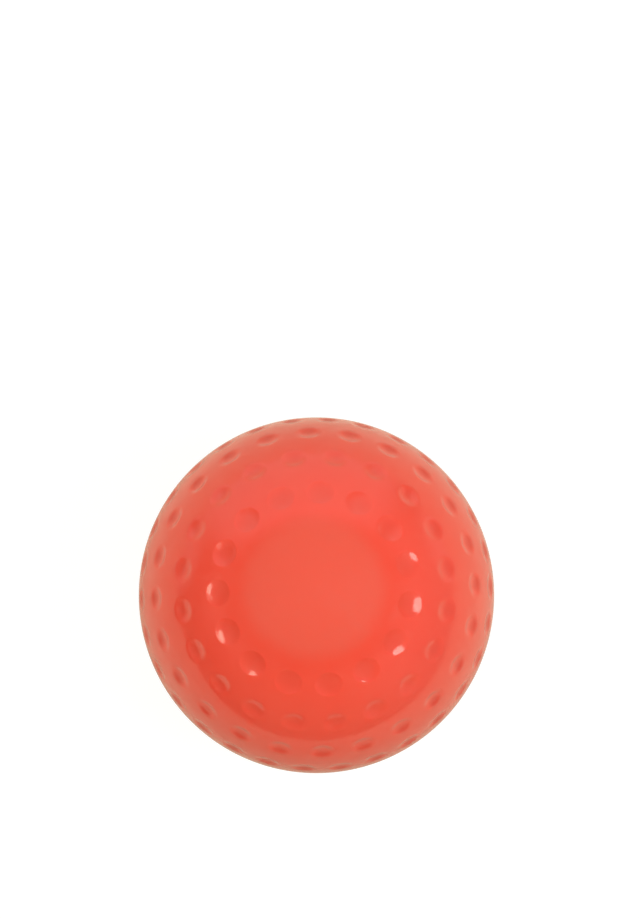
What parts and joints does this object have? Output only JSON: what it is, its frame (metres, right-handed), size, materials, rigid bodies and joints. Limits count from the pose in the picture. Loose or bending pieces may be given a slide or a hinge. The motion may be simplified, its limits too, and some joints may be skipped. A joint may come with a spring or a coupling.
{
  "type": "field hockey ball",
  "caption": "Hard field hockey ball: dimpled plastic half covers welded at the equator around a cork and rubber core, with a smooth panel at each pole.",
  "frame": {"origin": "the middle of the ball", "axes": "+Z out through the smooth panel in the middle of the upper half cover, square to the seam; X and Y lie in the seam plane, and +Y is up in the picture"},
  "size_m": [0.073, 0.073, 0.073],
  "materials": {
    "cover_plastic": "glossy moulded coral-red plastic",
    "weld_plastic": "the same plastic, trimmed to a satin line",
    "cork": "matt cork granules bound with rubber"
  },
  "bodies": {
    "root": {"upper_cover": "cover_plastic", "lower_cover": "cover_plastic", "seam_weld": "weld_plastic", "cork_core": "cork"}
  },
  "joints": []
}
